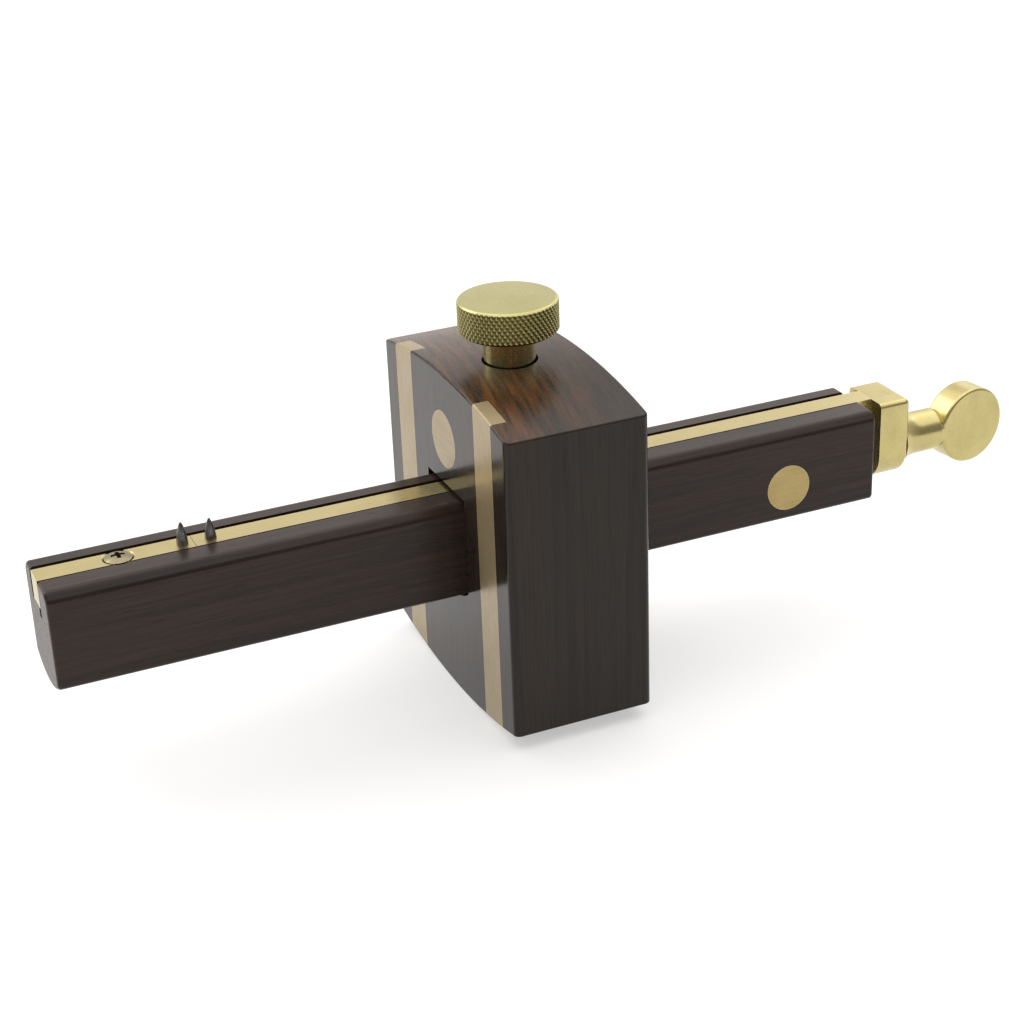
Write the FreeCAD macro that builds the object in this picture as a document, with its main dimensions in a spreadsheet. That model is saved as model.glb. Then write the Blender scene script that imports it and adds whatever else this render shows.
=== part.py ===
"""Mortise gauge: a dark hardwood stem with a brass pin slide, and a head clamped by a thumb screw.

The dimensions are drawn from the stem: X runs from the pin end of the stem to its pull end, Y is
across the stem from its middle, and Z is up from the stem's top face.  Every sub-part is then
placed in the common frame, whose origin is at the middle of the tool, under the head.
All lengths are millimetres.
"""
import FreeCAD, Part
import math
import os
import Sketcher
from FreeCAD import Vector

DIMENSIONS = {
    # common frame
    "origin_from_pin_end": 115.95,
    "origin_under_top": 48.6,
    # stem
    "stem_length": 191.3,
    "stem_width": 19.6,
    "stem_side": 21.2,
    "stem_crown": 2.9,
    "stem_chamfer": 1.7,
    "stem_edge_radius": 1.2,
    "stem_shoulder_radius": 1.8,
    "stem_end_radius": 0.8,
    "groove_front": 2.75,
    "groove_back": 4.45,
    "groove_depth": 6.4,
    "kerf_width": 1.6,
    "kerf_depth": 2.0,
    # brass bars in the groove
    "bar_width": 5.5,
    "bar_depth": 6.3,
    "bar_offset": 0.4,
    "plate_length": 33.0,
    "bar_seam": 0.12,
    # pins
    "fixed_pin_from_end": 30.8,
    "moving_pin_from_end": 36.8,
    "pin_base_radius": 1.25,
    "pin_tip_radius": 0.22,
    "pin_bow_radius": 13.0,
    "fixed_pin_height": 4.7,
    "moving_pin_height": 4.3,
    "pin_root": 5.0,
    # plate screw
    "screw_from_end": 17.3,
    "screw_head_radius": 2.9,
    "screw_head_stand": 0.7,
    "screw_rim_height": 0.5,
    "screw_cone_height": 1.3,
    "screw_brim_radius": 3.4,
    "screw_shank_radius": 1.5,
    "screw_length": 15.0,
    "screw_point": 2.5,
    "recess_reach": 1.5,
    "recess_width": 0.9,
    "recess_depth": 1.3,
    "screw_sink_radius": 3.5,
    "screw_sink_depth": 2.0,
    # end block and pull
    "block_from_end": 194.6,
    "block_length": 8.0,
    "block_width": 13.6,
    "block_height": 19.8,
    "block_edge_radius": 1.2,
    "pull_drop": 12.1,
    "pull_from_end": 222.4,
    "pull_radius": 9.2,
    "pull_thickness": 6.7,
    "pull_edge_radius": 0.7,
    "pull_turn": 8.0,
    "neck_root_radius": 6.5,
    "neck_radius": 4.9,
    "neck_flare": 5.4,
    "neck_flare_radius": 9.0,
    "stud_radius": 2.5,
    "stud_length": 4.5,
    # head
    "head_from_end": 89.1,
    "head_thickness": 32.1,
    "head_width": 66.6,
    "head_top": 22.7,
    "head_bottom": 44.9,
    "head_rise": 3.7,
    "head_edge_radius": 0.5,
    "head_corner_radius": 1.5,
    "mortise_side_gap": 0.2,
    "mortise_top_gap": 0.8,
    "mortise_bottom_gap": 0.35,
    # brass in the head's face and in the stem's side
    "strip_inner": 17.0,
    "strip_width": 9.0,
    "strip_depth": 3.5,
    "face_disc_radius": 6.35,
    "face_disc_height": 11.15,
    "side_disc_radius": 5.4,
    "side_disc_from_end": 168.5,
    "side_disc_drop": 13.8,
    "inlay_depth": 2.5,
    "inlay_gap": 0.03,
    # clamp
    "hole_radius": 6.05,
    "bush_bottom": 3.5,
    "bush_height": 8.5,
    "thread_radius": 4.0,
    "thread_gap": 0.075,
    "shank_radius": 5.6,
    "shank_bottom": 20.0,
    "knob_radius": 10.8,
    "knob_bottom": 32.8,
    "knob_height": 7.4,
    "knob_bevel": 0.7,
    "pad_hole_radius": 4.7,
    "pad_radius": 4.3,
    "pad_bottom": 0.1,
    "pad_height": 2.0,
    "spigot_radius": 1.8,
    "spigot_length": 1.4,
    "spigot_end_gap": 0.2,
}

doc = FreeCAD.newDocument("MortiseGauge")
sheet = doc.addObject("Spreadsheet::Sheet", "Dims")
for row, (alias, size) in enumerate(DIMENSIONS.items(), start=1):
    sheet.set(f"A{row}", alias)
    sheet.set(f"B{row}", str(size))
    sheet.setAlias(f"B{row}", alias)
doc.recompute()

HALF_STEM = "Dims.stem_width / 2"
STEM_ARC = "(Dims.stem_width ^ 2 / 4 + Dims.stem_crown ^ 2) / (2 * Dims.stem_crown)"
HEAD_ARC = "(Dims.head_width ^ 2 / 4 + Dims.head_rise ^ 2) / (2 * Dims.head_rise)"
CLAMP_X = "Dims.head_from_end + Dims.head_thickness / 2"
sub_parts = []


def value(expression):
    """The number that an expression on the sheet stands for."""
    return float(sheet.evalExpression(expression))


def new_body(label):
    """A body in the common frame, which becomes one sub-part."""
    body = doc.addObject("PartDesign::Body", label)
    body.Label = label
    body.setExpression("Placement.Base.x", "-Dims.origin_from_pin_end")
    body.setExpression("Placement.Base.z", "Dims.origin_under_top")
    sub_parts.append(body)
    return body


def new_sketch(body, name, role, offset="0"):
    """A sketch on one of the body's own origin planes, moved along that plane's normal."""
    sketch = body.newObject("Sketcher::SketchObject", name)
    plane = [item for item in body.Origin.OriginFeatures if item.Role == role][0]
    sketch.AttachmentSupport = [(plane, "")]
    sketch.MapMode = "FlatFace"
    sketch.setExpression("AttachmentOffset.Base.z", offset)
    return sketch


def pin_point(sketch, edge, end, point):
    """Hold one end of an edge at the two sizes of the point, which are expressions."""
    for kind, size in zip(("DistanceX", "DistanceY"), point):
        index = sketch.addConstraint(Sketcher.Constraint(kind, -1, 1, edge, end, value(size)))
        sketch.setExpression(f"Constraints[{index}]", size)


def draw_outline(sketch, points, arcs=None):
    """A closed outline through the points; arcs gives the radius and side of a bowed edge.

    The key in arcs is the number of the edge's first point.  Its value holds the radius, an
    expression, and the unit vector of the side to which the edge is bowed.
    """
    arcs = arcs or {}
    corners = [Vector(value(x), value(y), 0) for x, y in points]
    for index, start in enumerate(corners):
        end = corners[(index + 1) % len(corners)]
        if index not in arcs:
            edge = sketch.addGeometry(Part.LineSegment(start, end), False)
            pin_point(sketch, edge, 1, points[index])
            pin_point(sketch, edge, 2, points[(index + 1) % len(points)])
            continue
        radius, side = arcs[index]
        half_chord = (end - start).Length / 2
        bow = value(radius) - (value(radius) ** 2 - half_chord ** 2) ** 0.5
        middle = (start + end) / 2 + Vector(side[0], side[1], 0) * bow
        ends = [(start, points[index]), (end, points[(index + 1) % len(points)])]
        if (middle - start).cross(end - middle).z < 0:
            ends.reverse()
        edge = sketch.addGeometry(Part.Arc(ends[0][0], middle, ends[1][0]), False)
        pin_point(sketch, edge, 1, ends[0][1])
        pin_point(sketch, edge, 2, ends[1][1])
        constraint = sketch.addConstraint(Sketcher.Constraint("Radius", edge, value(radius)))
        sketch.setExpression(f"Constraints[{constraint}]", radius)


def draw_circle(sketch, x, y, radius):
    """A circle whose centre and radius are expressions."""
    centre = Vector(value(x), value(y), 0)
    edge = sketch.addGeometry(Part.Circle(centre, Vector(0, 0, 1), value(radius)), False)
    pin_point(sketch, edge, 3, (x, y))
    index = sketch.addConstraint(Sketcher.Constraint("Radius", edge, value(radius)))
    sketch.setExpression(f"Constraints[{index}]", radius)


def pad(body, sketch, name, length):
    """Thicken the sketch along its normal."""
    feature = body.newObject("PartDesign::Pad", name)
    feature.Profile = sketch
    feature.setExpression("Length", length)
    doc.recompute()
    return feature


def pocket(body, sketch, name, depth, along_normal=False):
    """Cut the sketch into the body, against its normal unless along_normal is set."""
    before = body.Shape.Volume
    feature = body.newObject("PartDesign::Pocket", name)
    feature.Profile = sketch
    feature.Reversed = along_normal
    feature.setExpression("Length", depth)
    doc.recompute()
    if body.Shape.Volume > before - 0.01:
        raise RuntimeError(f"{name} cuts nothing from {body.Label}")
    return feature


def revolve(body, sketch, name, cut=False):
    """Turn the sketch once round its own vertical axis."""
    before = body.Shape.Volume if cut else 0.0
    feature = body.newObject("PartDesign::Groove" if cut else "PartDesign::Revolution", name)
    feature.Profile = sketch
    feature.ReferenceAxis = (sketch, ["V_Axis"])
    feature.Angle = 360.0
    doc.recompute()
    if cut and body.Shape.Volume > before - 0.01:
        raise RuntimeError(f"{name} cuts nothing from {body.Label}")
    return feature


def round_edges(body, name, radius, chosen):
    """Round every edge of the body for which the test is true."""
    tip = body.Tip
    edges = enumerate(tip.Shape.Edges, start=1)
    names = [f"Edge{number}" for number, edge in edges if chosen(edge)]
    feature = body.newObject("PartDesign::Fillet", name)
    feature.Base = (tip, names)
    feature.setExpression("Radius", radius)
    doc.recompute()
    return feature


def shift_turned_sketch(sketch, x, y="0"):
    """Move an XZ sketch, so that its vertical axis stands at the place x, y."""
    sketch.setExpression("AttachmentOffset.Base.x", x)
    sketch.setExpression("AttachmentOffset.Base.z", f"-({y})")


def along(edge, axis):
    """Whether an edge is straight and runs along the axis."""
    if not isinstance(edge.Curve, Part.Line):
        return False
    return abs(abs(edge.Curve.Direction.dot(axis)) - 1) < 1e-6


def make_stem_bar():
    """The wooden stem: chamfered above, crowned below, grooved along its top."""
    body = new_body("stem_bar")
    floor = "-Dims.groove_depth"
    kerf_floor = "-(Dims.groove_depth + Dims.kerf_depth)"
    kerf_back = "Dims.kerf_width - Dims.groove_front"
    outline = new_sketch(body, "StemSection", "YZ_Plane")
    points = [
        (f"{HALF_STEM}", "-Dims.stem_side"),
        (f"-{HALF_STEM}", "-Dims.stem_side"),
        (f"-{HALF_STEM}", "-Dims.stem_chamfer"),
        (f"Dims.stem_chamfer - {HALF_STEM}", "0"),
        ("-Dims.groove_front", "0"),
        ("-Dims.groove_front", kerf_floor),
        (kerf_back, kerf_floor),
        (kerf_back, floor),
        ("Dims.groove_back", floor),
        ("Dims.groove_back", "0"),
        (f"{HALF_STEM} - Dims.stem_chamfer", "0"),
        (f"{HALF_STEM}", "-Dims.stem_chamfer"),
    ]
    draw_outline(outline, points, {0: (STEM_ARC, (0, -1))})
    pad(body, outline, "StemLength", "Dims.stem_length")

    def lower_corner(edge):
        middle = edge.CenterOfMass
        at_side = abs(abs(middle.y) - value(HALF_STEM)) < 1e-3
        return along(edge, Vector(1, 0, 0)) and at_side and middle.z < -value("Dims.stem_side / 2")

    def shoulder(edge):
        middle = edge.CenterOfMass
        outside = abs(middle.y) > value(f"{HALF_STEM} - Dims.stem_chamfer") - 1e-3
        return along(edge, Vector(1, 0, 0)) and outside and middle.z > -value("Dims.stem_side / 2")

    def end_outline(edge):
        middle = edge.CenterOfMass
        at_end = min(abs(middle.x), abs(middle.x - value("Dims.stem_length"))) < 1e-3
        in_groove = -value("Dims.groove_front") - 1e-3 < middle.y < value("Dims.groove_back") + 1e-3
        return at_end and (not in_groove or middle.z < -value("Dims.stem_side / 2"))

    round_edges(body, "LowerCorners", "Dims.stem_edge_radius", lower_corner)
    round_edges(body, "Shoulders", "Dims.stem_shoulder_radius", shoulder)
    round_edges(body, "EndOutlines", "Dims.stem_end_radius", end_outline)

    sink = new_sketch(body, "ScrewSink", "XY_Plane")
    draw_circle(sink, "Dims.screw_from_end", "Dims.bar_offset", "Dims.screw_sink_radius")
    pocket(body, sink, "ScrewSinkCut", "Dims.screw_sink_depth")
    pilot = new_sketch(body, "ScrewPilot", "XY_Plane")
    draw_circle(pilot, "Dims.screw_from_end", "Dims.bar_offset",
                "Dims.screw_shank_radius + Dims.inlay_gap")
    pocket(body, pilot, "ScrewPilotCut", "Dims.screw_length + Dims.screw_shank_radius")
    seat = new_sketch(body, "SideDiscSeat", "XZ_Plane", HALF_STEM)
    draw_circle(seat, "Dims.side_disc_from_end", "-Dims.side_disc_drop",
                "Dims.side_disc_radius + Dims.inlay_gap")
    pocket(body, seat, "SideDiscSeatCut", "Dims.inlay_depth")


def make_side_disc():
    """The round brass inlay in the side of the stem."""
    body = new_body("stem_side_disc")
    circle = new_sketch(body, "Disc", "XZ_Plane", f"{HALF_STEM} - Dims.inlay_depth")
    draw_circle(circle, "Dims.side_disc_from_end", "-Dims.side_disc_drop", "Dims.side_disc_radius")
    pad(body, circle, "DiscThickness", "Dims.inlay_depth")


def bar_section(body, start, length):
    """A straight brass bar in the groove, from the place start along the stem."""
    section = new_sketch(body, "BarSection", "YZ_Plane", start)
    front = "Dims.bar_offset - Dims.bar_width / 2"
    back = "Dims.bar_offset + Dims.bar_width / 2"
    points = [(front, "-Dims.bar_depth"), (back, "-Dims.bar_depth"), (back, "0"), (front, "0")]
    draw_outline(section, points)
    pad(body, section, "BarLength", length)


def pin_hole(body, place):
    """The hole in a bar into which a marking pin is pressed."""
    hole = new_sketch(body, "PinHole", "XY_Plane")
    draw_circle(hole, place, "Dims.bar_offset", "Dims.pin_base_radius + Dims.inlay_gap")
    pocket(body, hole, "PinHoleCut", "Dims.pin_root")


def make_pin_plate():
    """The short bar that is screwed in the pin end of the groove."""
    body = new_body("pin_plate")
    bar_section(body, "0", "Dims.plate_length")
    pin_hole(body, "Dims.fixed_pin_from_end")
    through = new_sketch(body, "ScrewHole", "XY_Plane")
    draw_circle(through, "Dims.screw_from_end", "Dims.bar_offset",
                "Dims.screw_shank_radius + Dims.inlay_gap")
    pocket(body, through, "ScrewHoleCut", "Dims.bar_depth")
    sink = new_sketch(body, "Countersink", "XZ_Plane")
    shift_turned_sketch(sink, "Dims.screw_from_end", "Dims.bar_offset")
    rim = "-Dims.screw_rim_height - Dims.inlay_gap"
    draw_outline(sink, [("0", f"{rim} - Dims.screw_cone_height"),
                        ("Dims.screw_shank_radius + Dims.inlay_gap", f"{rim} - Dims.screw_cone_height"),
                        ("Dims.screw_head_radius + Dims.inlay_gap", rim),
                        ("Dims.screw_brim_radius", "0"), ("Dims.screw_brim_radius", "1"), ("0", "1")])
    revolve(body, sink, "CountersinkCut", cut=True)


def make_plate_screw():
    """The raised countersunk screw, cross recessed, that holds the pin plate."""
    body = new_body("plate_screw")
    profile = new_sketch(body, "ScrewProfile", "XZ_Plane")
    shift_turned_sketch(profile, "Dims.screw_from_end", "Dims.bar_offset")
    shank = "Dims.screw_shank_radius"
    points = [
        ("0", "Dims.screw_head_stand"),
        ("0", "-Dims.screw_length"),
        (shank, "Dims.screw_point - Dims.screw_length"),
        (shank, "-Dims.screw_rim_height - Dims.screw_cone_height"),
        ("Dims.screw_head_radius", "-Dims.screw_rim_height"),
        ("Dims.screw_head_radius", "0"),
    ]
    rise = value("Dims.screw_head_stand")
    slant = math.hypot(value("Dims.screw_head_radius"), rise)
    dome = "(Dims.screw_head_radius ^ 2 + Dims.screw_head_stand ^ 2) / (2 * Dims.screw_head_stand)"
    outward = (rise / slant, value("Dims.screw_head_radius") / slant)
    draw_outline(profile, points, {5: (dome, outward)})
    revolve(body, profile, "ScrewTurned")
    x, y = "Dims.screw_from_end", "Dims.bar_offset"
    reach, half = "Dims.recess_reach", "Dims.recess_width / 2"
    cross = new_sketch(body, "CrossRecess", "XY_Plane", "Dims.screw_head_stand")
    corners = [(reach, half), (half, half), (half, reach)]
    quarter_turns = [("", "", False), ("-", "", True), ("-", "-", False), ("", "-", True)]
    points = []
    for sign_x, sign_y, swapped in quarter_turns:
        for across, up in (reversed(corners) if swapped else corners):
            points.append((f"{x} + {sign_x}({across})", f"{y} + {sign_y}({up})"))
    draw_outline(cross, points)
    pocket(body, cross, "CrossRecessCut", "Dims.recess_depth")


def make_pin(label, place, height):
    """A hardened marking pin: a plain root pressed in the brass, and a point with bowed sides."""
    body = new_body(label)
    profile = new_sketch(body, "PinProfile", "XZ_Plane")
    shift_turned_sketch(profile, place, "Dims.bar_offset")
    points = [
        ("0", "-Dims.pin_root"),
        ("Dims.pin_base_radius", "-Dims.pin_root"),
        ("Dims.pin_base_radius", "0"),
        ("Dims.pin_tip_radius", height),
        ("0", height),
    ]
    taper = value("Dims.pin_base_radius - Dims.pin_tip_radius")
    side = math.hypot(taper, value(height))
    outward = (value(height) / side, taper / side)
    draw_outline(profile, points, {2: ("Dims.pin_bow_radius", outward)})
    revolve(body, profile, "PinTurned")


def make_slide_bar():
    """The long brass bar that carries the moving pin to and fro in the groove."""
    body = new_body("slide_bar")
    start = "Dims.plate_length + Dims.bar_seam"
    bar_section(body, start, f"Dims.block_from_end - ({start})")
    pin_hole(body, "Dims.moving_pin_from_end")


def make_end_block():
    """The block on the outer end of the slide, flat above and round below."""
    body = new_body("slide_end_block")
    section = new_sketch(body, "BlockSection", "YZ_Plane", "Dims.block_from_end")
    half = "Dims.block_width / 2"
    spring = "Dims.block_width / 2 - Dims.block_height"
    points = [(half, "0"), (half, spring), ("0", "-Dims.block_height"),
              (f"-{half}", spring), (f"-{half}", "0")]
    diagonal = 0.5 ** 0.5
    quarters = {1: (half, (diagonal, -diagonal)), 2: (half, (-diagonal, -diagonal))}
    draw_outline(section, points, quarters)
    pad(body, section, "BlockLength", "Dims.block_length")
    outer = value("Dims.block_from_end + Dims.block_length")

    def exposed(edge):
        middle = edge.CenterOfMass
        return abs(middle.x - outer) < 1e-3 or along(edge, Vector(1, 0, 0)) and abs(middle.z) < 1e-3

    round_edges(body, "ExposedEdges", "Dims.block_edge_radius", exposed)
    seat = new_sketch(body, "StudSeat", "YZ_Plane", "Dims.block_from_end + Dims.block_length")
    draw_circle(seat, "0", "-Dims.pull_drop", "Dims.stud_radius + Dims.inlay_gap")
    pocket(body, seat, "StudSeatCut", "Dims.stud_length")


def make_thumb_pull():
    """The cast pull: a flared neck, and a thick round thumb piece slightly turned on it."""
    body = new_body("thumb_pull")
    root = "Dims.block_from_end + Dims.block_length"
    centre = "Dims.pull_from_end"
    axis = "-Dims.pull_drop"
    thumb = new_sketch(body, "ThumbPiece", "XZ_Plane")
    thumb.AttachmentOffset = FreeCAD.Placement(Vector(), FreeCAD.Rotation(Vector(0, 1, 0), 1))
    thumb.setExpression("AttachmentOffset.Rotation.Angle", "Dims.pull_turn")
    thumb.setExpression("AttachmentOffset.Base.x", centre)
    thumb.setExpression("AttachmentOffset.Base.y", axis)
    draw_circle(thumb, "0", "0", "Dims.pull_radius")
    pad(body, thumb, "ThumbThickness", "Dims.pull_thickness").SideType = "Symmetric"
    doc.recompute()
    round_edges(body, "ThumbRim", "Dims.pull_edge_radius", lambda edge: edge.Length > 20)

    neck = new_sketch(body, "NeckProfile", "XZ_Plane")
    neck.setExpression("AttachmentOffset.Base.y", axis)
    points = [
        (f"{root} - Dims.stud_length", "0"),
        (centre, "0"),
        (centre, "Dims.pull_thickness / 2 - Dims.pull_edge_radius"),
        (f"{centre} - Dims.pull_radius", "Dims.neck_radius"),
        (f"{root} + Dims.neck_flare", "Dims.neck_radius"),
        (root, "Dims.neck_root_radius"),
        (root, "Dims.stud_radius"),
        (f"{root} - Dims.stud_length", "Dims.stud_radius"),
    ]
    spread = value("Dims.neck_root_radius - Dims.neck_radius")
    slant = math.hypot(value("Dims.neck_flare"), spread)
    inward = (-spread / slant, -value("Dims.neck_flare") / slant)
    draw_outline(neck, points, {4: ("Dims.neck_flare_radius", inward)})
    feature = body.newObject("PartDesign::Revolution", "NeckTurned")
    feature.Profile = neck
    feature.ReferenceAxis = (neck, ["H_Axis"])
    feature.Angle = 360.0
    doc.recompute()


def make_head_block():
    """The wooden head: arched above and below, with the mortise for the stem."""
    body = new_body("head_block")
    outline = new_sketch(body, "HeadOutline", "YZ_Plane", "Dims.head_from_end")
    half = "Dims.head_width / 2"
    points = [(half, "-Dims.head_bottom"), (f"-{half}", "-Dims.head_bottom"),
              (f"-{half}", "Dims.head_top"), (half, "Dims.head_top")]
    draw_outline(outline, points, {0: (HEAD_ARC, (0, -1)), 2: (HEAD_ARC, (0, 1))})
    pad(body, outline, "HeadThickness", "Dims.head_thickness")
    upright = Vector(0, 0, 1)
    round_edges(body, "UprightEdges", "Dims.head_corner_radius", lambda edge: along(edge, upright))
    round_edges(body, "ArchEdges", "Dims.head_edge_radius", lambda edge: not along(edge, upright))

    mortise = new_sketch(body, "Mortise", "YZ_Plane", "Dims.head_from_end")
    side = f"{HALF_STEM} + Dims.mortise_side_gap"
    floor = "-(Dims.stem_side + Dims.mortise_bottom_gap)"
    roof = "Dims.mortise_top_gap"
    points = [(side, floor), (f"-({side})", floor), (f"-({side})", roof), (side, roof)]
    draw_outline(mortise, points, {0: (STEM_ARC, (0, -1))})
    pocket(body, mortise, "MortiseCut", "Dims.head_thickness", along_normal=True)

    for name, sign in (("FrontStripSlot", "-"), ("BackStripSlot", "")):
        slot = new_sketch(body, name, "YZ_Plane", "Dims.head_from_end")
        inner = f"{sign}(Dims.strip_inner)"
        outer = f"{sign}(Dims.strip_inner + Dims.strip_width)"
        low = "-(Dims.head_bottom + Dims.head_rise + 1)"
        high = "Dims.head_top + Dims.head_rise + 1"
        draw_outline(slot, [(inner, low), (outer, low), (outer, high), (inner, high)])
        pocket(body, slot, name + "Cut", "Dims.strip_depth", along_normal=True)
    seat = new_sketch(body, "FaceDiscSeat", "YZ_Plane", "Dims.head_from_end")
    draw_circle(seat, "0", "Dims.face_disc_height", "Dims.face_disc_radius + Dims.inlay_gap")
    pocket(body, seat, "FaceDiscSeatCut", "Dims.inlay_depth", along_normal=True)

    top = "Dims.head_top + Dims.head_rise"
    clamp_hole = new_sketch(body, "ClampHole", "XY_Plane", top)
    draw_circle(clamp_hole, CLAMP_X, "0", "Dims.hole_radius")
    pocket(body, clamp_hole, "ClampHoleCut", f"{top} - Dims.bush_bottom")
    pad_hole = new_sketch(body, "PadHole", "XY_Plane", "Dims.bush_bottom")
    draw_circle(pad_hole, CLAMP_X, "0", "Dims.pad_hole_radius")
    pocket(body, pad_hole, "PadHoleCut", "Dims.bush_bottom - Dims.mortise_top_gap / 2")


def make_face_strip(label, near, sign):
    """One brass wear strip, flush with the face and with the two arches of the head."""
    body = new_body(label)
    strip = new_sketch(body, "StripOutline", "YZ_Plane", "Dims.head_from_end")
    inner = "Dims.strip_inner + Dims.inlay_gap"
    outer = "Dims.strip_inner + Dims.strip_width - Dims.inlay_gap"
    drop = f"{HEAD_ARC} - Dims.head_rise"
    inner_reach = f"sqrt(({HEAD_ARC}) ^ 2 - ({inner}) ^ 2) - ({drop})"
    outer_reach = f"sqrt(({HEAD_ARC}) ^ 2 - ({outer}) ^ 2) - ({drop})"
    points = [
        (f"{sign}({inner})", f"-(Dims.head_bottom + {inner_reach})"),
        (f"{sign}({outer})", f"-(Dims.head_bottom + {outer_reach})"),
        (f"{sign}({outer})", f"Dims.head_top + {outer_reach}"),
        (f"{sign}({inner})", f"Dims.head_top + {inner_reach}"),
    ]
    slope = near / value(HEAD_ARC)
    level = (1 - slope ** 2) ** 0.5
    draw_outline(strip, points, {0: (HEAD_ARC, (slope, -level)), 2: (HEAD_ARC, (slope, level))})
    pad(body, strip, "StripDepth", "Dims.strip_depth")
    face = value("Dims.head_from_end")

    def exposed_arch(edge):
        on_face = all(abs(corner.X - face) < 1e-6 for corner in edge.Vertexes)
        return on_face and isinstance(edge.Curve, Part.Circle)

    round_edges(body, "ExposedEnds", "Dims.head_edge_radius", exposed_arch)


def make_face_strips():
    """The pair of wear strips, one each side of the stem."""
    middle = value("Dims.strip_inner + Dims.strip_width / 2")
    make_face_strip("face_strip_front", -middle, "-")
    make_face_strip("face_strip_back", middle, "")


def make_face_disc():
    """The round brass inlay in the head's face, above the stem."""
    body = new_body("face_disc")
    circle = new_sketch(body, "Disc", "YZ_Plane", "Dims.head_from_end")
    draw_circle(circle, "0", "Dims.face_disc_height", "Dims.face_disc_radius")
    pad(body, circle, "DiscThickness", "Dims.inlay_depth")


def make_bush():
    """The brass bush at the bottom of the clamp hole, in which the thumb screw turns."""
    body = new_body("threaded_bush")
    ring = new_sketch(body, "BushRing", "XY_Plane", "Dims.bush_bottom")
    draw_circle(ring, CLAMP_X, "0", "Dims.hole_radius - Dims.inlay_gap")
    draw_circle(ring, CLAMP_X, "0", "Dims.thread_radius + Dims.thread_gap")
    pad(body, ring, "BushHeight", "Dims.bush_height")


def make_clamp_pad():
    """The brass pad that the thumb screw presses on the stem and on the slide."""
    body = new_body("clamp_pad")
    disc = new_sketch(body, "PadDisc", "XY_Plane", "Dims.pad_bottom")
    draw_circle(disc, CLAMP_X, "0", "Dims.pad_radius")
    pad(body, disc, "PadHeight", "Dims.pad_height")
    socket = new_sketch(body, "SpigotSocket", "XY_Plane", "Dims.pad_bottom + Dims.pad_height")
    draw_circle(socket, CLAMP_X, "0", "Dims.spigot_radius + Dims.thread_gap")
    pocket(body, socket, "SpigotSocketCut", "Dims.spigot_length + Dims.spigot_end_gap")


def make_thumb_screw():
    """The thumb screw: a broad knob, a plain shank, the thread and a spigot for the pad."""
    body = new_body("thumb_screw")
    profile = new_sketch(body, "ScrewProfile", "XZ_Plane")
    shift_turned_sketch(profile, CLAMP_X)
    seat = "Dims.pad_bottom + Dims.pad_height + Dims.thread_gap"
    crown = "Dims.knob_bottom + Dims.knob_height"
    points = [
        ("0", f"{seat} - Dims.spigot_length"),
        ("Dims.spigot_radius", f"{seat} - Dims.spigot_length"),
        ("Dims.spigot_radius", seat),
        ("Dims.thread_radius", seat),
        ("Dims.thread_radius", "Dims.shank_bottom"),
        ("Dims.shank_radius", "Dims.shank_bottom"),
        ("Dims.shank_radius", "Dims.knob_bottom"),
        ("Dims.knob_radius - Dims.knob_bevel", "Dims.knob_bottom"),
        ("Dims.knob_radius", "Dims.knob_bottom + Dims.knob_bevel"),
        ("Dims.knob_radius", f"{crown} - Dims.knob_bevel"),
        ("Dims.knob_radius - Dims.knob_bevel", crown),
        ("0", crown),
    ]
    draw_outline(profile, points)
    revolve(body, profile, "ScrewTurned")


make_stem_bar()
make_side_disc()
make_pin_plate()
make_plate_screw()
make_pin("fixed_pin", "Dims.fixed_pin_from_end", "Dims.fixed_pin_height")
make_slide_bar()
make_end_block()
make_thumb_pull()
make_pin("moving_pin", "Dims.moving_pin_from_end", "Dims.moving_pin_height")
make_head_block()
make_face_strips()
make_face_disc()
make_bush()
make_clamp_pad()
make_thumb_screw()
doc.recompute()

for item in doc.Objects:
    if "Invalid" in item.State or "Error" in item.State:
        raise RuntimeError(f"{item.Label} failed: {item.State}")
for body in sub_parts:
    if body.Shape.isNull() or not body.Shape.isValid() or len(body.Shape.Solids) != 1:
        raise RuntimeError(f"{body.Label} is not one valid solid")

os.makedirs("parts", exist_ok=True)
for body in sub_parts:
    body.Shape.exportStep(f"parts/{body.Label}.step")
    box = body.Shape.BoundBox
    print(f"{body.Label:18s} {body.Shape.Volume:10.2f} mm3  "
          f"x {box.XMin:8.2f} {box.XMax:8.2f}  y {box.YMin:7.2f} {box.YMax:7.2f}  "
          f"z {box.ZMin:7.2f} {box.ZMax:7.2f}")
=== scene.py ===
"""Marking gauge with two pins: the visual model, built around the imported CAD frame."""
import math
import bmesh
import bpy
from mathutils import Matrix, Vector


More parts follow.
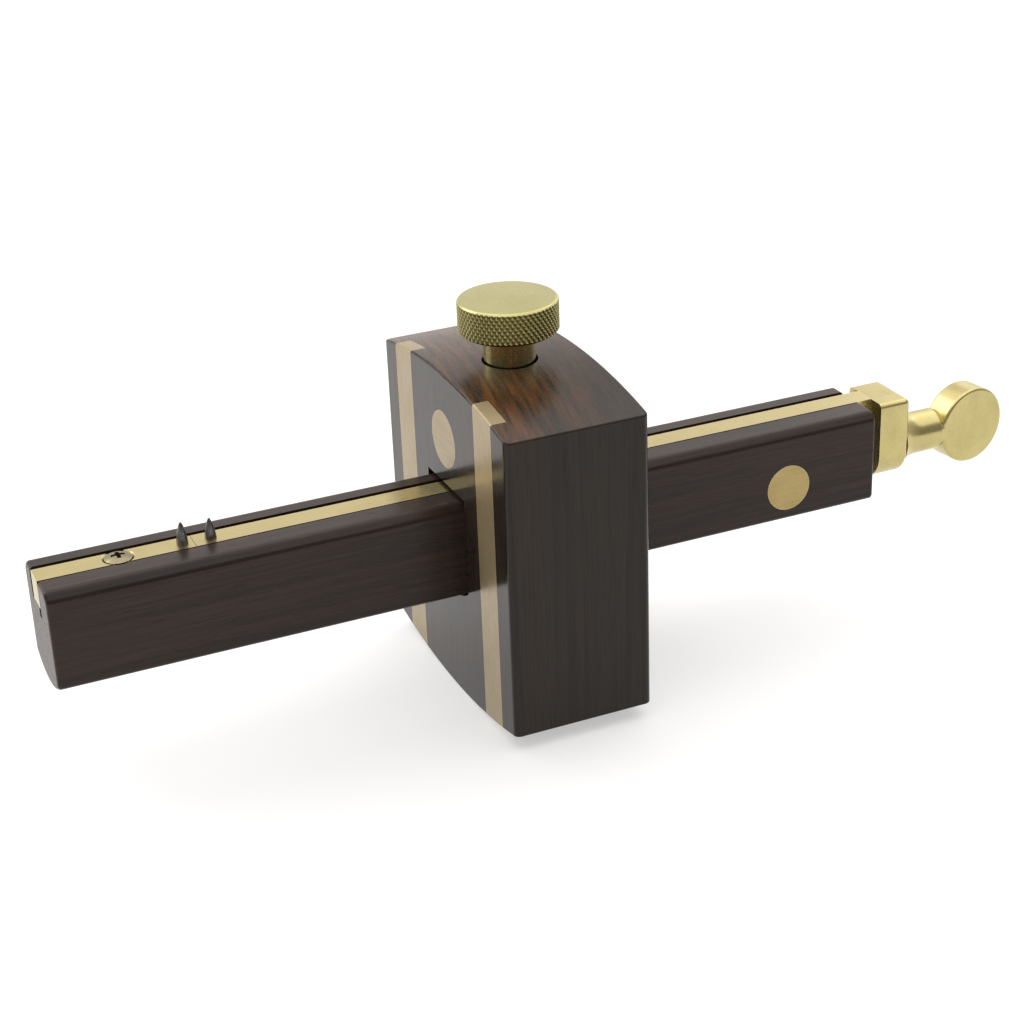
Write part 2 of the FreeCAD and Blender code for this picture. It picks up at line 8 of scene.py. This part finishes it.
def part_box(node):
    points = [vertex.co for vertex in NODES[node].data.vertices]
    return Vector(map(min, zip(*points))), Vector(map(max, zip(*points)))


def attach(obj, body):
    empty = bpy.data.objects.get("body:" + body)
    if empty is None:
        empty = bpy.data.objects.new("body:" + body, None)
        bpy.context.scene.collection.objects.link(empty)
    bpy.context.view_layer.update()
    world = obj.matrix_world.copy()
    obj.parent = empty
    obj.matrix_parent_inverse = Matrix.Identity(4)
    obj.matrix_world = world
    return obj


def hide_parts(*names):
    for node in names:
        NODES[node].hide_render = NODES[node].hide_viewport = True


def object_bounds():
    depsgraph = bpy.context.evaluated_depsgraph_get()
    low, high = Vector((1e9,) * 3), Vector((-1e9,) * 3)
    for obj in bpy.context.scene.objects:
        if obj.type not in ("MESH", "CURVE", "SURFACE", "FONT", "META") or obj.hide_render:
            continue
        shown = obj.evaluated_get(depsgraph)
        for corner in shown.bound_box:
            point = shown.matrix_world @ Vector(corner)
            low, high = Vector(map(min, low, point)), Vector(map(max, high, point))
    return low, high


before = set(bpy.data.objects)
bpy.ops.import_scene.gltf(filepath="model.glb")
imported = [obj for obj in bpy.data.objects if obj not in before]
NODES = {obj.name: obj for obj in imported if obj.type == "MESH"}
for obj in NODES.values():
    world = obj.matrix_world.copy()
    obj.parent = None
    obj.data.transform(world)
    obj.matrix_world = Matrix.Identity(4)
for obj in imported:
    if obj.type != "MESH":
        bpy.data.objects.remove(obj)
CAD_BOX = [list(corner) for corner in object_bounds()]
MM = 0.001

# The thumb screw. Its CAD box gives the knob's radius and the heights of its top and tip.
# A knurl steepness above 1 leaves flat crests, and the offset makes one set of its grooves
# shallower. THREAD_START is the height above the tip where the thread has its full radius.
KNOB_HEIGHT = 7.4 * MM
KNOB_BEVEL = 0.7 * MM
KNURL_DEPTH = 0.36 * MM
KNURL_TEETH = 60
KNURL_ANGLE = math.radians(36)
KNURL_STEEPNESS = 1.4
KNURL_OFFSET = 0.2
KNURL_ROWS = 64
KNURL_MARGIN = 0.45 * MM
STEPS_PER_TOOTH = 10
SHANK_LENGTH = 12.8 * MM
SHANK_RADIUS = 5.6 * MM
THREAD_RADIUS = 4.0 * MM
THREAD_START = 1.8 * MM
SPIGOT_RADIUS = 1.8 * MM
SPIGOT_LENGTH = 1.4 * MM
CHAMFER = 0.2 * MM
SHARP_ANGLE = math.radians(32)

# Wood. The warm figure fades along a level direction, given by its parts along X and against Y.
FIBRE_SHADE = (0.50, 0.47, 0.46)
PORE_COLOUR = (0.005, 0.004, 0.003)
WOOD_WEAR_RADIUS = 0.3 * MM
WORN_WOOD_GAIN = 2.2
WOOD_SPECULAR = 0.26
WOOD_TINT = (1.0, 0.93, 0.88, 1.0)
# The fade is a painted reflection: the figure stays full where the knob's dark reflection keeps
# the glare off the head's top, and fades where the glare falls.
REFLECTION_FADE_ALONG_X = 0.92
REFLECTION_FADE_AGAINST_Y = 0.39
REFLECTION_FADE_LENGTH = 20 * MM
REFLECTION_FADED_STRENGTH = 0.12

# Metal. The scales are cycles per metre. Grime and painted shade lie in the knurl, less so on
# its crests, and come in over a set rise above the knob's base.
TARNISH_SCALE = (95, 95, 95)
SPECK_SCALE = (1500, 1500, 1500)
SCRATCH_SHADE = (0.70, 0.66, 0.58)
GRIME_AND_SHADE_COLOUR = (0.075, 0.052, 0.010)
GRIME_AND_SHADE_ON_CREST = 0.25
GRIME_AND_SHADE_RISE = 0.6 * MM
BRASS_WEAR_RADIUS = 0.22 * MM
WORN_BRASS = (0.72, 0.64, 0.38)
STEEL_DARK = (0.10, 0.10, 0.105)
STEEL_LIGHT = (0.24, 0.235, 0.235)
RING_SHADE = (0.5, 0.5, 0.5)

# Floor and studio. The sky is dim behind the camera and bright behind the object: its strength
# runs from the first to the second figure as the Y part of its direction crosses SKY_RANGE.
FLOOR_COLOUR = (0.55, 0.55, 0.55, 1.0)
FLOOR_ROUGHNESS = 0.8
FLOOR_GLOW = 0.46
FLOOR_SIZE = 6.0
SKY_COLOUR = (1.0, 0.965, 0.935, 1.0)
SKY_RANGE = (-0.9, 0.7)
SKY_STRENGTH = (0.27, 1.12)

# Camera. Lens and sensor are in millimetres and the near clip in metres. Its place, in metres,
# and its three directions are in the part's frame.
LENS = 74.7
SENSOR = 36.0
NEAR_CLIP = 0.01
CAMERA_PLACE = (-0.17596, -0.38457, 0.23911)
CAMERA_RIGHT = (0.91265, -0.40720, -0.03542)
CAMERA_UP = (0.20470, 0.38035, 0.90191)
CAMERA_BACK = (-0.35378, -0.83038, 0.43048)


# ---------------------------------------------------------------- node helpers

class Graph:
    """A material's node tree, with short calls for the nodes it is made of."""

    def __init__(self, name):
        self.material = bpy.data.materials.new(name)
        self.material.use_nodes = True
        self.tree = self.material.node_tree
        self.tree.nodes.clear()
        self.shader = self.add("ShaderNodeBsdfPrincipled")
        output = self.add("ShaderNodeOutputMaterial")
        self.link(self.shader.outputs["BSDF"], output.inputs["Surface"])
        coordinates = self.add("ShaderNodeTexCoord")
        self.place = coordinates.outputs["Object"]
        self.normal = coordinates.outputs["Normal"]

    def add(self, kind, **settings):
        node = self.tree.nodes.new(kind)
        for key, setting in settings.items():
            setattr(node, key, setting)
        return node

    def link(self, source, target):
        self.tree.links.new(source, target)

    def feed(self, socket, item):
        """Link a socket to another, or set a constant on it."""
        if isinstance(item, bpy.types.NodeSocket):
            self.link(item, socket)
        else:
            socket.default_value = item

    def math(self, operation, first, second=0.0):
        node = self.add("ShaderNodeMath", operation=operation)
        self.feed(node.inputs[0], first)
        self.feed(node.inputs[1], second)
        return node.outputs[0]

    def parts(self, vector):
        """The X, Y and Z sockets of a vector."""
        node = self.add("ShaderNodeSeparateXYZ")
        self.link(vector, node.inputs[0])
        return node.outputs

    def scaled(self, scale, source=None, offset=(0, 0, 0)):
        """Coordinates in cycles per metre along each axis."""
        node = self.add("ShaderNodeMapping")
        self.link(source or self.place, node.inputs["Vector"])
        node.inputs["Scale"].default_value = scale
        node.inputs["Location"].default_value = offset
        return node.outputs[0]

    def noise(self, vector, detail, rough, distortion=0.0):
        node = self.add("ShaderNodeTexNoise")
        self.link(vector, node.inputs["Vector"])
        node.inputs["Scale"].default_value = 1.0
        node.inputs["Detail"].default_value = detail
        node.inputs["Roughness"].default_value = rough
        node.inputs["Distortion"].default_value = distortion
        return node.outputs["Fac"]

    def ramp(self, fac, stops):
        node = self.add("ShaderNodeValToRGB")
        self.link(fac, node.inputs[0])
        band = node.color_ramp
        while len(band.elements) < len(stops):
            band.elements.new(0.5)
        for element, (position, colour) in zip(band.elements, stops):
            element.position = position
            element.color = (*colour, 1.0)
        return node.outputs[0]

    def span(self, fac, low, high, out_low=0.0, out_high=1.0):
        """Map low to high onto out_low to out_high, and hold the ends beyond them."""
        node = self.add("ShaderNodeMapRange")
        self.link(fac, node.inputs["Value"])
        node.inputs["From Min"].default_value = low
        node.inputs["From Max"].default_value = high
        node.inputs["To Min"].default_value = out_low
        node.inputs["To Max"].default_value = out_high
        return node.outputs["Result"]

    def mix(self, fac, first, second, blend="MIX"):
        node = self.add("ShaderNodeMix", data_type="RGBA", blend_type=blend)
        self.feed(node.inputs["Factor"], fac)
        for socket, item in ((node.inputs[6], first), (node.inputs[7], second)):
            self.feed(socket, (*item, 1.0) if isinstance(item, tuple) else item)
        return node.outputs[2]

    def bump(self, height, distance, strength, below=None):
        node = self.add("ShaderNodeBump")
        node.inputs["Distance"].default_value = distance
        node.inputs["Strength"].default_value = strength
        self.link(height, node.inputs["Height"])
        if below:
            self.link(below, node.inputs["Normal"])
        return node.outputs[0]

    def edge_wear(self, radius):
        """1 on flat ground, falling towards 0 where the surface turns within the radius."""
        bevel = self.add("ShaderNodeBevel", samples=4)
        bevel.inputs["Radius"].default_value = radius
        flat = self.add("ShaderNodeNewGeometry").outputs["Normal"]
        dot = self.add("ShaderNodeVectorMath", operation="DOT_PRODUCT")
        self.link(bevel.outputs[0], dot.inputs[0])
        self.link(flat, dot.inputs[1])
        return dot.outputs["Value"]

    def set(self, **inputs):
        """Feed the shader's sockets, with underscores in place of the spaces in their names."""
        for name, item in inputs.items():
            self.feed(self.shader.inputs[name.replace("_", " ")], item)


def middle(node):
    low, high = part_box(node)
    return (low + high) / 2


# ---------------------------------------------------------------- materials

def wood(name, fibre, dark, medium, warm, seed, rough, skew=0.0, side_warmth=0.3,
         reflection_fade_from=None):
    """Polished dark rosewood as a solid texture: growth bands, a warm figure, fibres and pores.

    fibre is the axis that the fibres run along, 0 for X or 2 for Z. The growth bands lie across
    Z in the first case and across X in the second, so they are streaks on the other faces.
    The warm figure is at full strength on the end grain and at side_warmth on the sides.
    If a fade start is given, the figure fades beyond it, towards the back and the front side.
    This
    fade is a painted reflection: the figure is full where the knob's dark reflection keeps the
    glare off the top, and faded where the glare falls.
    """
    g = Graph(name)
    turned = g.add("ShaderNodeMapping")
    g.link(g.place, turned.inputs["Vector"])
    turned.inputs["Rotation"].default_value = (0.0, 0.0, skew)
    place = turned.outputs[0]
    shift = (seed, seed * 0.7, seed * 1.3)

    def layer(along, layered, sideways, detail, roughness, distortion=0.0):
        scale = (along, sideways, layered) if fibre == 0 else (layered, sideways, along)
        return g.noise(g.scaled(scale, place, shift), detail, roughness, distortion)

    bands = layer(along=7, layered=330, sideways=62, detail=5, roughness=0.62, distortion=0.5)
    streaks = layer(along=13, layered=760, sideways=60, detail=5, roughness=0.66, distortion=0.35)
    fibres = layer(along=75, layered=2900, sideways=2300, detail=3, roughness=0.65)
    pores = layer(along=170, layered=3900, sideways=3300, detail=1, roughness=0.4)
    open_pore = g.span(pores, 0.665, 0.74)

    end_grain = g.span(g.math("ABSOLUTE", g.parts(g.normal)[fibre]), 0.55, 0.95, side_warmth, 1.0)
    figure = g.span(streaks, 0.36, 0.70)
    # Painted reflection: the warm figure fades where the glare falls.
    if reflection_fade_from is not None:
        x, y, _ = g.parts(g.place)
        reach = g.math("SUBTRACT", g.math("MULTIPLY", x, REFLECTION_FADE_ALONG_X),
                       g.math("MULTIPLY", y, REFLECTION_FADE_AGAINST_Y))
        kept_from_glare = g.span(reach, reflection_fade_from, reflection_fade_from + REFLECTION_FADE_LENGTH, 1.0, REFLECTION_FADED_STRENGTH)
        figure = g.math("MULTIPLY", figure, kept_from_glare)

    body = g.ramp(bands, [(0.28, dark), (0.50, medium), (0.60, dark), (0.74, medium)])
    body = g.mix(g.math("MULTIPLY", figure, end_grain), body, warm)
    body = g.mix(g.span(fibres, 0.40, 0.64, 0.0, 0.6), body, FIBRE_SHADE, "MULTIPLY")
    body = g.mix(g.math("MULTIPLY", open_pore, 0.8), body, PORE_COLOUR)
    wear = g.span(g.edge_wear(WOOD_WEAR_RADIUS), 0.93, 0.995, 0.30, 0.0)
    body = g.mix(wear, body, tuple(WORN_WOOD_GAIN * part for part in medium))

    polish = g.math("ADD", g.span(fibres, 0.3, 0.7, rough - 0.05, rough + 0.11),
                    g.math("MULTIPLY", open_pore, 0.08))
    polish = g.math("ADD", polish, g.span(end_grain, 0.3, 1.0, 0.0, 0.08))
    grain = g.bump(fibres, 0.012 * MM, 0.7, below=g.bump(streaks, 0.06 * MM, 0.8))
    relief = g.bump(g.math("SUBTRACT", 1.0, open_pore), 0.006 * MM, 0.5, below=grain)
    g.set(Base_Color=body, Roughness=polish, Normal=relief)
    g.shader.inputs["Specular IOR Level"].default_value = WOOD_SPECULAR
    g.shader.inputs["Specular Tint"].default_value = WOOD_TINT
    return g.material


def knurl_grime_and_shade(g):
    """Where grime and painted shade lie: 1 in the knurl's grooves, the crest share on its crests
    and 0 away from the knurl.
    """
    low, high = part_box("thumb_screw")
    radius = (high.x - low.x) / 2
    centre = middle("thumb_screw")
    base = high.z - KNOB_HEIGHT
    level = g.add("ShaderNodeVectorMath", operation="MULTIPLY_ADD")
    g.link(g.place, level.inputs[0])
    level.inputs[1].default_value = (1, 1, 0)
    level.inputs[2].default_value = (-centre.x, -centre.y, 0)
    reach = g.add("ShaderNodeVectorMath", operation="LENGTH")
    g.link(level.outputs[0], reach.inputs[0])
    groove = g.span(reach.outputs["Value"], radius - KNURL_DEPTH, radius - 0.1 * KNURL_DEPTH,
                    1.0, GRIME_AND_SHADE_ON_CREST)
    upright = g.span(g.math("ABSOLUTE", g.parts(g.normal)[2]), 0.5, 0.7, 1.0, 0.0)
    on_knob = g.span(g.parts(g.place)[2], base, base + GRIME_AND_SHADE_RISE)
    return g.math("MULTIPLY", g.math("MULTIPLY", groove, upright), on_knob)


def brushed(name, colour, dull, rough, scale, depth, seed, worn=WORN_BRASS, metal=1.0,
            stain=0.5, streak=0.3, speck=0.4, grime_and_shade=None):
    """Brass with fine scratches along its brushing, a faint tarnish, and worn edges.

    scale is the scratches' cycles per metre along X, Y and Z, and depth is their bump. stain,
    streak and speck are how strongly the tarnish, the scratches and the specks show. The last
    argument takes the graph and returns where grime and painted shade lie.
    """
    g = Graph(name)
    shift = (seed, seed * 0.6, seed * 1.7)
    lines = g.noise(g.scaled(scale, offset=shift), 4, 0.65)
    tarnish = g.noise(g.scaled(TARNISH_SCALE, offset=shift), 4, 0.6)
    specks = g.noise(g.scaled(SPECK_SCALE, offset=shift), 2, 0.5)
    tone = g.mix(g.span(tarnish, 0.42, 0.72, 0.0, stain), colour, dull)
    tone = g.mix(g.span(lines, 0.35, 0.7, 0.0, streak), tone, SCRATCH_SHADE, "MULTIPLY")
    tone = g.mix(g.span(specks, 0.66, 0.78, 0.0, speck), tone, dull)
    wear = g.span(g.edge_wear(BRASS_WEAR_RADIUS), 0.90, 0.995, 0.8, 0.0)
    tone = g.mix(wear, tone, worn)
    # Grime and painted shade darken the knurl: its grooves fully and its crests less.
    if grime_and_shade:
        tone = g.mix(g.math("MULTIPLY", grime_and_shade(g), 0.9), tone, GRIME_AND_SHADE_COLOUR)
    polish = g.math("ADD", g.span(lines, 0.3, 0.7, rough - 0.05, rough + 0.07),
                    g.span(tarnish, 0.45, 0.75, 0.0, 0.07))
    g.set(Base_Color=tone, Roughness=polish, Metallic=metal, Normal=g.bump(lines, depth, 0.5))
    return g.material


def steel(name):
    """Dark hardened steel with turning marks round the pin."""
    g = Graph(name)
    rings = g.noise(g.scaled((300, 300, 9000)), 3, 0.6)
    blotch = g.noise(g.scaled((900, 900, 500)), 3, 0.6)
    tone = g.ramp(blotch, [(0.3, STEEL_DARK), (0.7, STEEL_LIGHT)])
    tone = g.mix(g.span(rings, 0.45, 0.7, 0.0, 0.5), tone, RING_SHADE, "MULTIPLY")
    g.set(Base_Color=tone, Roughness=g.span(rings, 0.3, 0.7, 0.26, 0.42), Metallic=1.0,
          Normal=g.bump(rings, 0.01 * MM, 0.5))
    return g.material


STEM_WOOD = wood("stem_wood", fibre=0, seed=1.3, rough=0.24, dark=(0.013, 0.010, 0.008),
                 medium=(0.027, 0.017, 0.014), warm=(0.060, 0.024, 0.014))
# The head's warm figure fades as a painted reflection, strong only where the glare is kept off.
HEAD_WOOD = wood("head_wood", fibre=2, seed=4.9, rough=0.15, dark=(0.011, 0.009, 0.007),
                 medium=(0.020, 0.015, 0.011), warm=(0.150, 0.060, 0.020),
                 skew=math.radians(9), side_warmth=0.06, reflection_fade_from=-9.9 * MM)
BAR = brushed("bar_brass", (0.55, 0.47, 0.235), (0.44, 0.36, 0.16), rough=0.26,
              scale=(60, 3200, 3200), depth=0.006 * MM, seed=2.1)
STRIP = brushed("strip_brass", (0.35, 0.27, 0.15), (0.29, 0.22, 0.115), rough=0.30,
                scale=(900, 2600, 90), depth=0.003 * MM, seed=3.7,
                metal=0.5, streak=0.2, speck=0.1)
FACE_INLAY = brushed("face_inlay_brass", (0.335, 0.26, 0.145), (0.30, 0.23, 0.12), rough=0.30,
                     scale=(900, 90, 2600), depth=0.003 * MM, seed=5.5,
                     metal=0.5, streak=0.2, speck=0.1)
SIDE_INLAY = brushed("side_inlay_brass", (0.40, 0.305, 0.135), (0.30, 0.22, 0.09), rough=0.36,
                     scale=(90, 2600, 2600), depth=0.006 * MM, seed=5.9)
CAST = brushed("cast_brass", (0.52, 0.445, 0.20), (0.42, 0.35, 0.145), rough=0.24,
               scale=(300, 300, 200), depth=0.001 * MM, seed=6.1,
               stain=0.6, streak=0.2, speck=0.0)
# The knob's knurl is darkened by grime and painted shade.
KNOB = brushed("knob_brass", (0.46, 0.425, 0.19), (0.37, 0.33, 0.135), rough=0.27,
               scale=(2400, 120, 700), depth=0.003 * MM, seed=7.7,
               worn=(0.56, 0.49, 0.22), streak=0.15, grime_and_shade=knurl_grime_and_shade)
SHANK = brushed("shank_brass", (0.86, 0.80, 0.40), (0.78, 0.70, 0.33), rough=0.16,
                scale=(120, 120, 2600), depth=0.002 * MM, seed=7.1,
                stain=0.2, streak=0.15, speck=0.0)
TURNED = brushed("screw_brass", (0.27, 0.235, 0.15), (0.17, 0.14, 0.085), rough=0.33,
                 scale=(1100, 1100, 1100), depth=0.006 * MM, seed=8.3,
                 worn=(0.50, 0.43, 0.26))
STEEL = steel("pin_steel")


# ---------------------------------------------------------------- CAD nodes

MATERIALS = {
    "stem_bar": STEM_WOOD,
    "head_block": HEAD_WOOD,
    "face_strip_front": STRIP,
    "face_strip_back": STRIP,
    "face_disc": FACE_INLAY,
    "stem_side_disc": SIDE_INLAY,
    "pin_plate": BAR,
    "slide_bar": BAR,
    "slide_end_block": CAST,
    "thumb_pull": CAST,
    "plate_screw": TURNED,
    "threaded_bush": TURNED,
    "clamp_pad": TURNED,
    "fixed_pin": STEEL,
    "moving_pin": STEEL,
}
for node, material in MATERIALS.items():
    slots = NODES[node].data.materials
    slots.clear()
    slots.append(material)


# ---------------------------------------------------------------- knurled thumb screw

def thumb_screw():
    """One turned piece: knurled knob, shank, a plain cylinder for the thread, and spigot."""
    low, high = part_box("thumb_screw")
    centre = middle("thumb_screw")
    knob_r = (high.x - low.x) / 2
    base = high.z - KNOB_HEIGHT
    shank_base = base - SHANK_LENGTH
    knurl_top = KNOB_HEIGHT - KNURL_MARGIN
    around = KNURL_TEETH * STEPS_PER_TOOTH
    lead = math.tan(KNURL_ANGLE)
    pitch = 2 * math.pi * knob_r / KNURL_TEETH
    mesh = bmesh.new()
    rings = []

    def knurled(height, step):
        """The knob's radius in its knurl: two sets of crossed grooves, the second shallower."""
        turn = KNURL_TEETH * step / around
        rise = lead * (height - base) / pitch
        first = abs((turn + rise) % 1.0 - 0.5) * 2
        second = abs((turn - rise) % 1.0 - 0.5) * 2
        crest = min(1.0, KNURL_STEEPNESS * min(first, second + KNURL_OFFSET))
        return knob_r - KNURL_DEPTH * (1 - crest)

    def ring(height, radius=None):
        """A ring of points at a height, following the knurl if it has no radius of its own."""
        points = []
        for step in range(around):
            angle = 2 * math.pi * step / around
            r = knurled(height, step) if radius is None else radius
            points.append(mesh.verts.new((centre.x + r * math.cos(angle),
                                          centre.y + r * math.sin(angle), height)))
        rings.append(points)

    for height, radius in (
            (low.z, SPIGOT_RADIUS - CHAMFER),
            (low.z + CHAMFER, SPIGOT_RADIUS),
            (low.z + SPIGOT_LENGTH, SPIGOT_RADIUS),
            (low.z + SPIGOT_LENGTH, THREAD_RADIUS - 0.3 * MM),
            (low.z + THREAD_START, THREAD_RADIUS),
            (shank_base, THREAD_RADIUS),
            (shank_base, SHANK_RADIUS - CHAMFER),
            (shank_base + CHAMFER, SHANK_RADIUS),
            (base - 0.5 * MM, SHANK_RADIUS),
            (base - 0.12 * MM, SHANK_RADIUS + 0.12 * MM),
            (base, SHANK_RADIUS + 0.5 * MM),
            (base, knob_r - KNOB_BEVEL - 0.25 * MM),
            (base + 0.3 * MM, knob_r - 0.5 * MM)):
        ring(height, radius)
    for row in range(KNURL_ROWS + 1):
        ring(base + KNOB_BEVEL + (knurl_top - KNOB_BEVEL) * row / KNURL_ROWS)
    for height, radius in (
            (base + knurl_top + 0.03 * MM, knob_r - 0.08 * MM),
            (high.z - 0.26 * MM, knob_r - 0.2 * MM),
            (high.z - 0.1 * MM, knob_r - 0.4 * MM),
            (high.z - 0.03 * MM, knob_r - 0.6 * MM),
            (high.z, knob_r - 0.9 * MM)):
        ring(height, radius)
    for lower, upper in zip(rings, rings[1:]):
        for step in range(around):
            after = (step + 1) % around
            mesh.faces.new((lower[step], lower[after], upper[after], upper[step]))
    mesh.faces.new(rings[-1])
    mesh.faces.new(list(reversed(rings[0])))

    data = bpy.data.meshes.new("knurled_thumb_screw")
    mesh.to_mesh(data)
    mesh.free()
    piece = bpy.data.objects.new("knurled_thumb_screw", data)
    bpy.context.scene.collection.objects.link(piece)
    data.materials.append(KNOB)
    data.materials.append(SHANK)
    for face in data.polygons:
        face.material_index = int(face.center.z < base - 0.05 * MM)
    data.shade_smooth()
    data.set_sharp_from_angle(angle=SHARP_ANGLE)
    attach(piece, "screw")
    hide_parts("thumb_screw")


thumb_screw()


# ---------------------------------------------------------------- floor, light and camera

def floor():
    mesh = bmesh.new()
    bmesh.ops.create_grid(mesh, x_segments=1, y_segments=1, size=FLOOR_SIZE)
    data = bpy.data.meshes.new("floor")
    mesh.to_mesh(data)
    mesh.free()
    piece = bpy.data.objects.new("floor", data)
    piece.location.z = CAD_BOX[0][2]
    bpy.context.scene.collection.objects.link(piece)
    g = Graph("floor_white")
    g.set(Base_Color=FLOOR_COLOUR, Roughness=FLOOR_ROUGHNESS)
    g.shader.inputs["Emission Color"].default_value = (1.0, 1.0, 1.0, 1.0)
    g.shader.inputs["Emission Strength"].default_value = FLOOR_GLOW
    data.materials.append(g.material)


def area_light(name, place, target, size, power):
    """A square lamp of the given size in metres and power in watts, facing its target."""
    data = bpy.data.lights.new(name, "AREA")
    data.energy = power
    data.shape = "SQUARE"
    data.size = size
    lamp = bpy.data.objects.new(name, data)
    bpy.context.scene.collection.objects.link(lamp)
    lamp.location = place
    lamp.rotation_euler = (Vector(target) - Vector(place)).to_track_quat("-Z", "Y").to_euler()


floor()
area_light("overhead", place=(0.15, 0.0, 1.3), target=(0.05, 0.02, 0.03), size=2.2, power=17)
area_light("back_left", place=(-0.9, 1.0, 0.9), target=(-0.35, 0.55, 0.0), size=0.9, power=7)
area_light("back_right", place=(1.1, 0.7, 0.7), target=(0.25, 0.1, 0.0), size=1.0, power=2)

world = bpy.data.worlds.new("studio")
world.use_nodes = True
sky = world.node_tree
direction = sky.nodes.new("ShaderNodeSeparateXYZ")
sky.links.new(sky.nodes.new("ShaderNodeTexCoord").outputs["Generated"], direction.inputs[0])
strength = sky.nodes.new("ShaderNodeMapRange")
sky.links.new(direction.outputs["Y"], strength.inputs["Value"])
for socket, number in zip(("From Min", "From Max", "To Min", "To Max"), SKY_RANGE + SKY_STRENGTH):
    strength.inputs[socket].default_value = number
background = sky.nodes["Background"]
background.inputs["Color"].default_value = SKY_COLOUR
sky.links.new(strength.outputs[0], background.inputs["Strength"])
scene = bpy.context.scene
scene.world = world
scene.view_settings.view_transform = "Standard"

camera_data = bpy.data.cameras.new("camera")
camera_data.lens = LENS
camera_data.sensor_width = SENSOR
camera_data.clip_start = NEAR_CLIP
camera = bpy.data.objects.new("camera", camera_data)
scene.collection.objects.link(camera)
turn = Matrix((CAMERA_RIGHT, CAMERA_UP, CAMERA_BACK)).transposed().to_4x4()
camera.matrix_world = Matrix.Translation(CAMERA_PLACE) @ turn
scene.camera = camera
